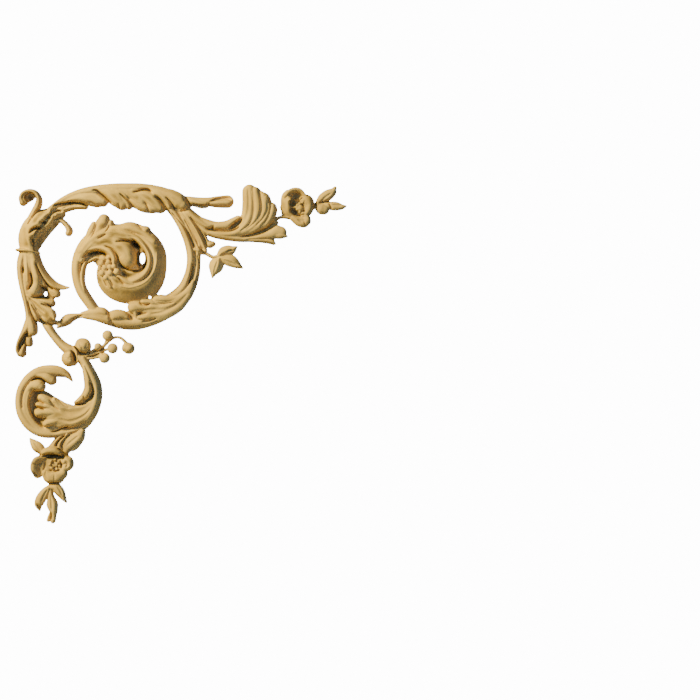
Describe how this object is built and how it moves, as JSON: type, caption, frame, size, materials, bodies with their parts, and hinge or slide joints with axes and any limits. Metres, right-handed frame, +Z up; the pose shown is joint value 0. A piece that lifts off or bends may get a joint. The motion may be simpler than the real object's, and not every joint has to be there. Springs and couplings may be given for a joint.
{
  "type": "spandrel applique",
  "caption": "Flat-backed carved corner applique: a leafy scroll round a coiled boss, with a hooked scroll below and flower sprays at both ends.",
  "frame": {"origin": "on the flat back, behind the centre of the round coiled boss", "axes": "+X to the right along the long upper spray, +Z up, +Y out of the flat back into what it is fixed to, so the carving faces -Y"},
  "size_m": [0.3019, 0.0228, 0.31],
  "materials": {
    "composition": "bare honey-tan carved composition, matt, with warm brown left in the hollows and under the leaf edges"
  },
  "bodies": {
    "root": {"spandrel_casting": "composition"}
  },
  "joints": []
}
